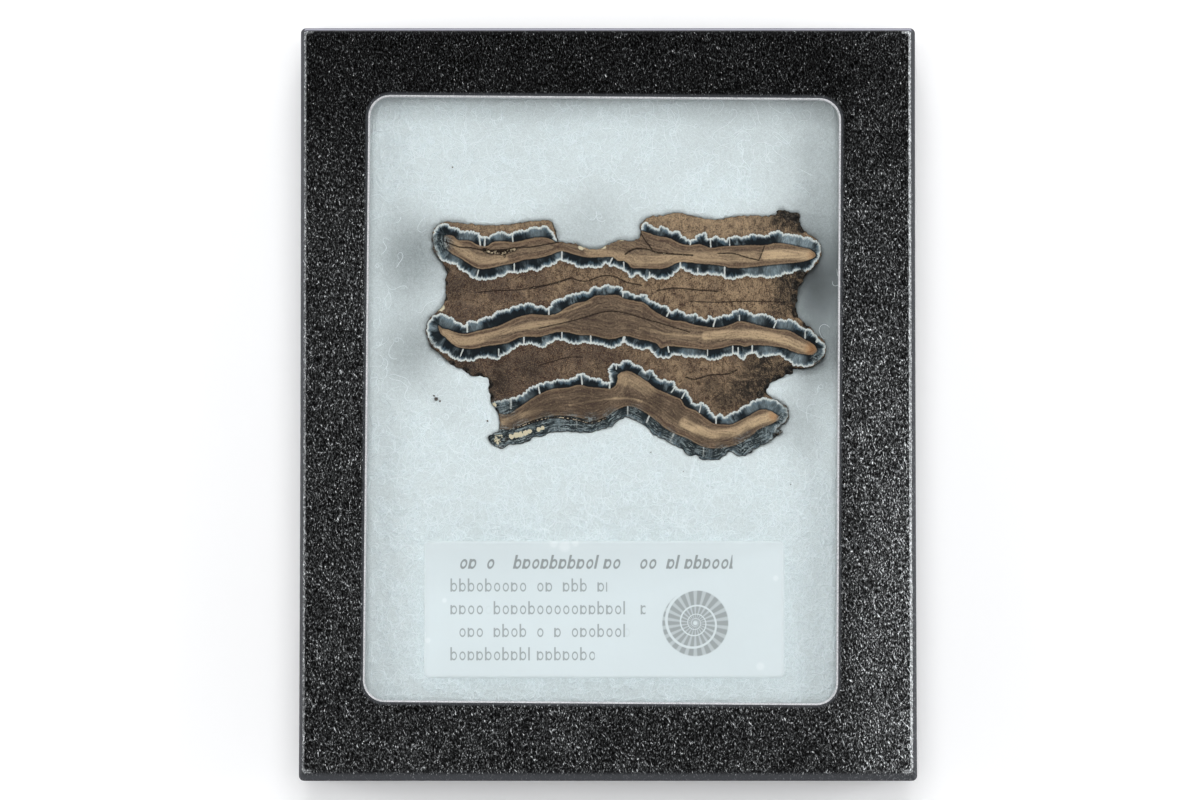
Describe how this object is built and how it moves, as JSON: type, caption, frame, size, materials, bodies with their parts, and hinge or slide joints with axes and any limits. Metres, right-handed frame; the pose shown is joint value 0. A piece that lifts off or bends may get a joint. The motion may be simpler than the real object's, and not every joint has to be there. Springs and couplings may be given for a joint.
{
  "type": "mammoth molar slice in a display case",
  "caption": "Slice of mammoth molar with wavy enamel bands, held by soft fibre padding behind the pane of a lidded card display case.",
  "frame": {"origin": "middle of the lid's outline, on the case's underside", "axes": "+Z out of the underside towards the window, +Y along the case's long side towards the top of the specimen, +X to the right as seen through the window"},
  "size_m": [0.1142, 0.1396, 0.0191],
  "materials": {
    "tray_card": "matte",
    "grained_card": "satin",
    "clear_pane": "gloss",
    "white_fibre": "matte",
    "fossil_tooth": "satin",
    "frosted_label": "matte"
  },
  "bodies": {
    "root": {"case_tray": "tray_card", "case_lid": "grained_card", "window_pane": "clear_pane", "fibre_padding": "white_fibre", "molar_slice": "fossil_tooth", "label": "frosted_label"}
  },
  "joints": []
}
